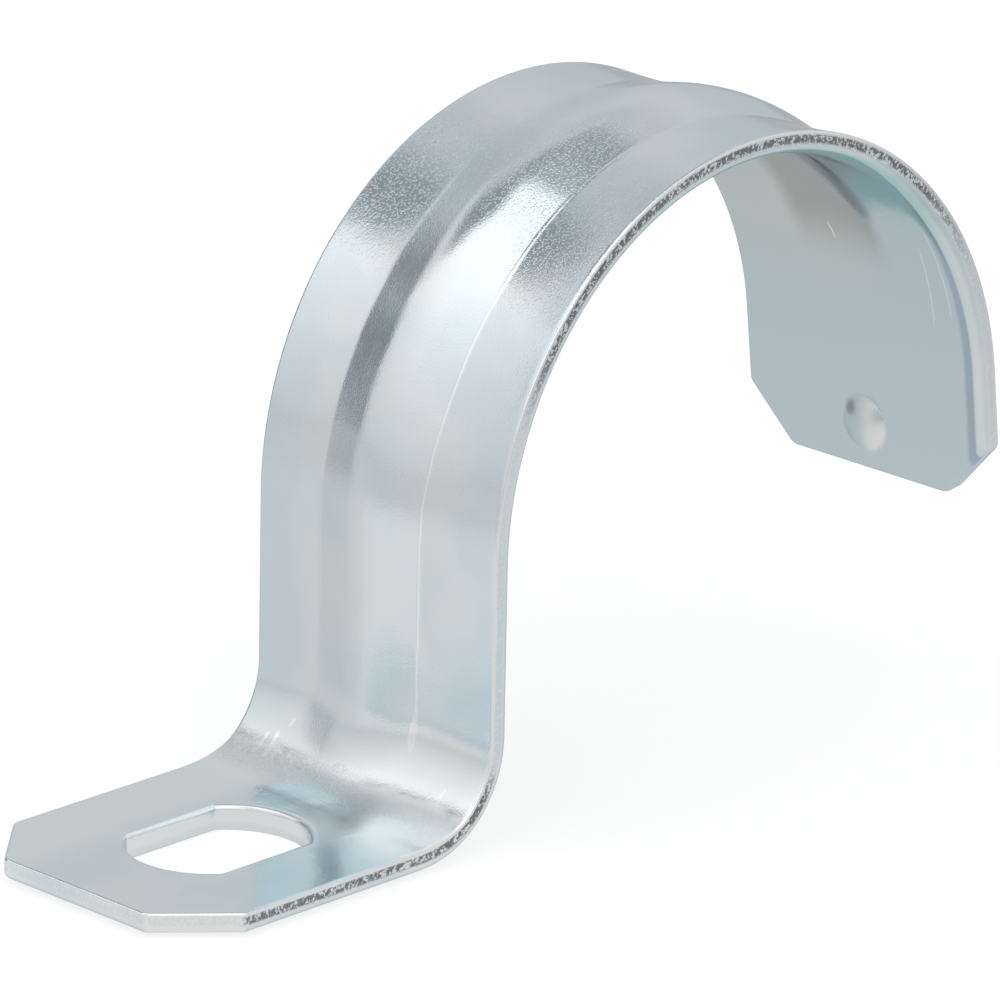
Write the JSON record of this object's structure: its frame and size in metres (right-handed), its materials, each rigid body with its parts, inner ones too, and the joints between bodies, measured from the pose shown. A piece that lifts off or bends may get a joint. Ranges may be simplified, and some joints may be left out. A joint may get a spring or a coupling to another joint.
{
  "type": "conduit strap",
  "caption": "Folded, ribbed strip of zinc-plated steel that holds a conduit to a wall: slotted flat foot, short leg, half-round arch and free end with a gripping dimple.",
  "frame": {"origin": "on the plane of the foot's underside, on the strap's middle line, level with the middle of the fixing slot", "axes": "+X along the strap from the foot towards the arch, +Y across it along the conduit, +Z away from the wall"},
  "size_m": [0.0666, 0.019, 0.0388],
  "materials": {
    "zinc_plated_steel": "bright zinc plating, clear passivated, on cold-rolled sheet"
  },
  "bodies": {
    "root": {"strap": "zinc_plated_steel"}
  },
  "joints": []
}
